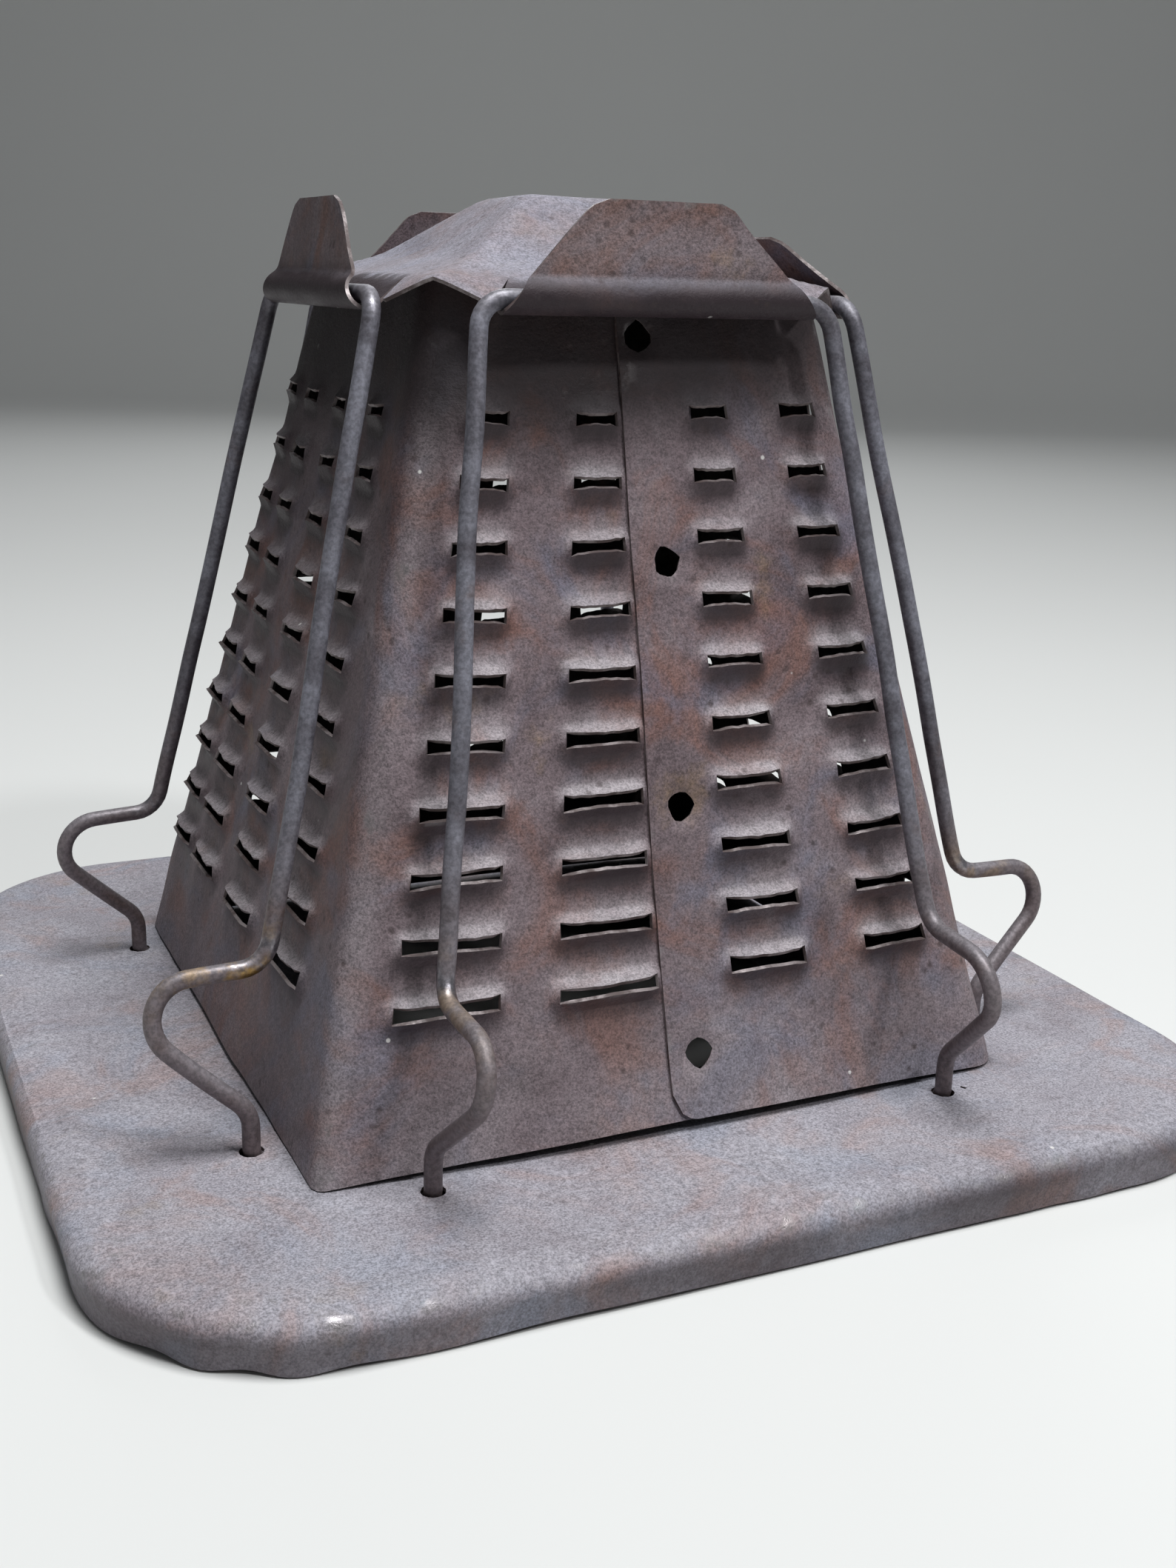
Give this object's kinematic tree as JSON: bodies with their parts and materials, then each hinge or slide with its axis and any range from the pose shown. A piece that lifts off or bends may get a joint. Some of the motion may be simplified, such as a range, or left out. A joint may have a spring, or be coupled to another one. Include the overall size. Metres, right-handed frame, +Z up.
{
  "type": "stove-top toaster",
  "caption": "Four-sided stove-top toaster: a louvred sheet-metal tower on a shallow square pan, with bent wire bread racks on every side held by a curled cap.",
  "frame": {"origin": "middle of the pan's footprint, on the surface that the toaster stands on", "axes": "+Z up; the tower's lap seam faces -Y; +X to the right of that face"},
  "size_m": [0.21, 0.21, 0.1612],
  "materials": {
    "pan_tinplate": "dull, oxidised and dusty, worn bright along the rim",
    "tower_tinplate": "dull, heat-browned and rust-mottled",
    "cap_tinplate": "dull, dusty on top, dark brown on the tabs",
    "rack_wire": "dull grey, worn shiny at the bends"
  },
  "bodies": {
    "root": {"base_pan": "pan_tinplate", "tower_shell": "tower_tinplate", "top_cap": "cap_tinplate", "rack_wire_front": "rack_wire", "rack_wire_right": "rack_wire", "rack_wire_back": "rack_wire", "rack_wire_left": "rack_wire"}
  },
  "joints": []
}
